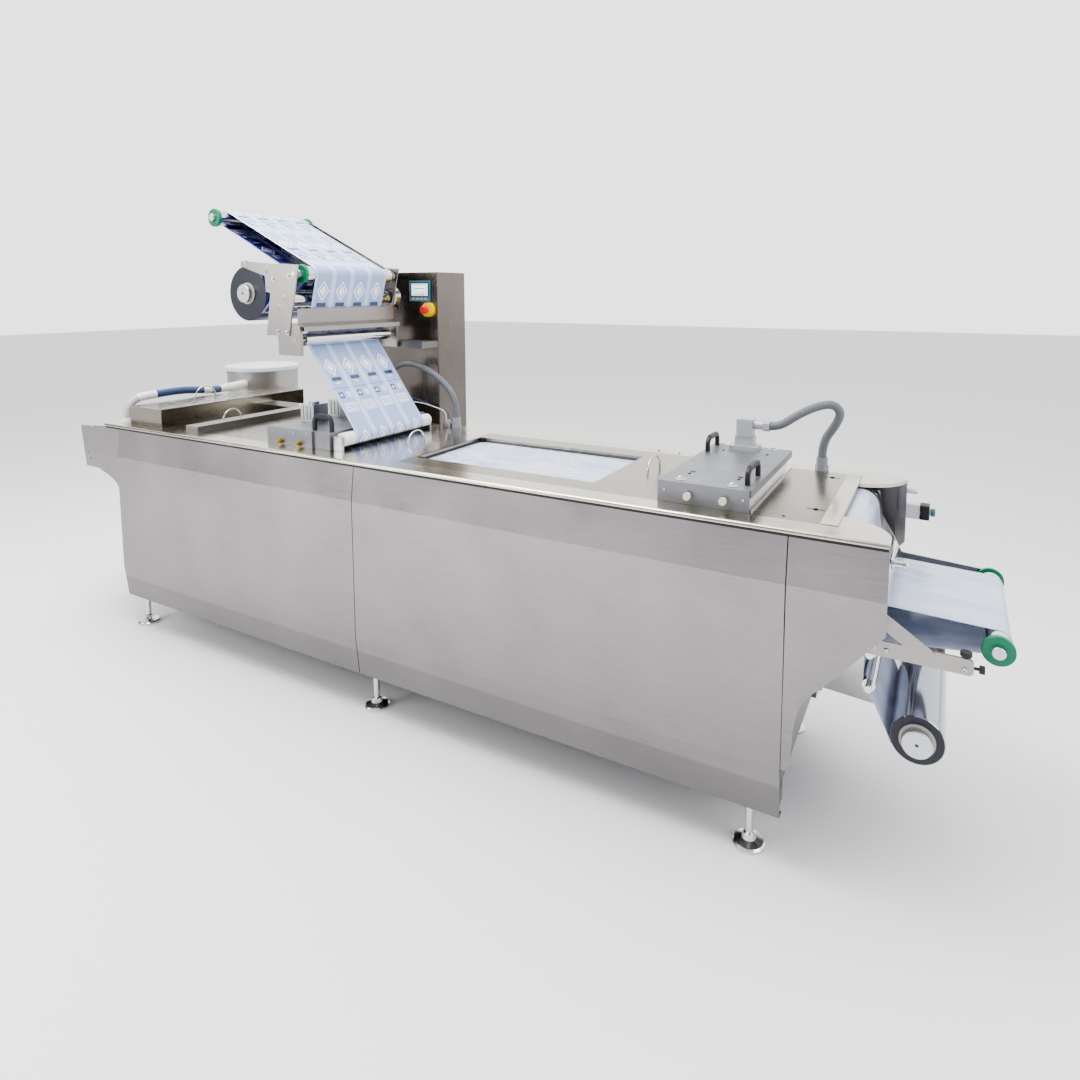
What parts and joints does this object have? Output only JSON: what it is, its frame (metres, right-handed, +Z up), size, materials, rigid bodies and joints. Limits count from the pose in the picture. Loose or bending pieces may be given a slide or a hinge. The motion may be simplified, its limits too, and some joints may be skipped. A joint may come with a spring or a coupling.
{
  "type": "thermoforming machine",
  "caption": "Stainless rollstock thermoforming packaging machine with film reels, tension rollers, forming, sealing and cutting stations, and a control cabinet.",
  "frame": {"origin": "centre of the footprint at floor level", "axes": "+X along the machine towards the lower film infeed, -Y the operator side, +Z up"},
  "size_m": [4.2289, 1.26, 2.0359],
  "materials": {
    "anodised": "satin grey anodised plate",
    "black_plastic": "satin black",
    "brass": "plain",
    "cast_grey": "cast hood",
    "core_card": "pressed card",
    "cream_plastic": "cream",
    "dark_stainless": "brushed stainless in shade",
    "film_clear": "clear film",
    "film_print": "printed film",
    "film_roll": "film edge",
    "green_plastic": "green",
    "grey_plastic": "grey",
    "hose_blue": "blue hose",
    "hose_grey": "grey conduit",
    "lid_plastic": "pale lid",
    "panel_plastic": "dark teal",
    "polished_steel": "polished roller",
    "red_plastic": "red",
    "stainless": "fine brushed stainless sheet",
    "white_plastic": "white",
    "yellow_plastic": "yellow"
  },
  "bodies": {
    "root": {"air_regulator": "white_plastic", "back_panels": "stainless", "bottom_film": "film_clear", "bow_handles": "black_plastic", "chain_rails": "dark_stainless", "conduit_glands": "grey_plastic", "control_cabinet": "stainless", "cover_plate": "polished_steel", "cross_tubes": "dark_stainless", "cutter_bar": "anodised", "deck_plates": "stainless", "deck_rails": "stainless", "drive_motor": "polished_steel", "emergency_stop_base": "yellow_plastic", "emergency_stop_button": "red_plastic", "end_panels": "dark_stainless", "film_reels": "film_roll", "forming_block": "anodised", "forming_conduit": "hose_grey", "forming_connector": "cast_grey", "forming_cover": "anodised", "forming_side_rail": "polished_steel", "forming_vent_knobs": "cream_plastic", "front_panel_left": "stainless", "front_panel_right": "stainless", "hose_fittings": "grey_plastic", "infeed_arm_back": "stainless", "infeed_bar_front": "stainless", "infeed_cheeks": "stainless", "infeed_rollers": "polished_steel", "levelling_feet": "polished_steel", "loading_frame": "stainless", "lower_roller_brackets": "stainless", "operator_panel": "panel_plastic", "outfeed_cheeks": "stainless", "outfeed_chute": "stainless", "reel_cores": "core_card", "reel_shafts": "cast_grey", "roller_end_caps": "green_plastic", "seal_roller": "white_plastic", "seal_roller_brackets": "stainless", "sealing_air_fittings": "brass", "sealing_block": "anodised", "sealing_conduit": "hose_grey", "sealing_cylinders": "anodised", "side_frames": "dark_stainless", "slitter_cover": "stainless", "splice_lever": "stainless", "station_front_plates": "anodised", "thumb_screw": "black_plastic", "top_film": "film_print", "trim_drum": "stainless", "trim_drum_lid": "lid_plastic", "trim_hose": "hose_blue", "unwinder_plates": "stainless", "unwinder_supports": "stainless", "unwinder_tray": "stainless", "upper_rollers": "polished_steel", "upper_tension_arm": "anodised", "wire_handles": "stainless"}
  },
  "joints": []
}
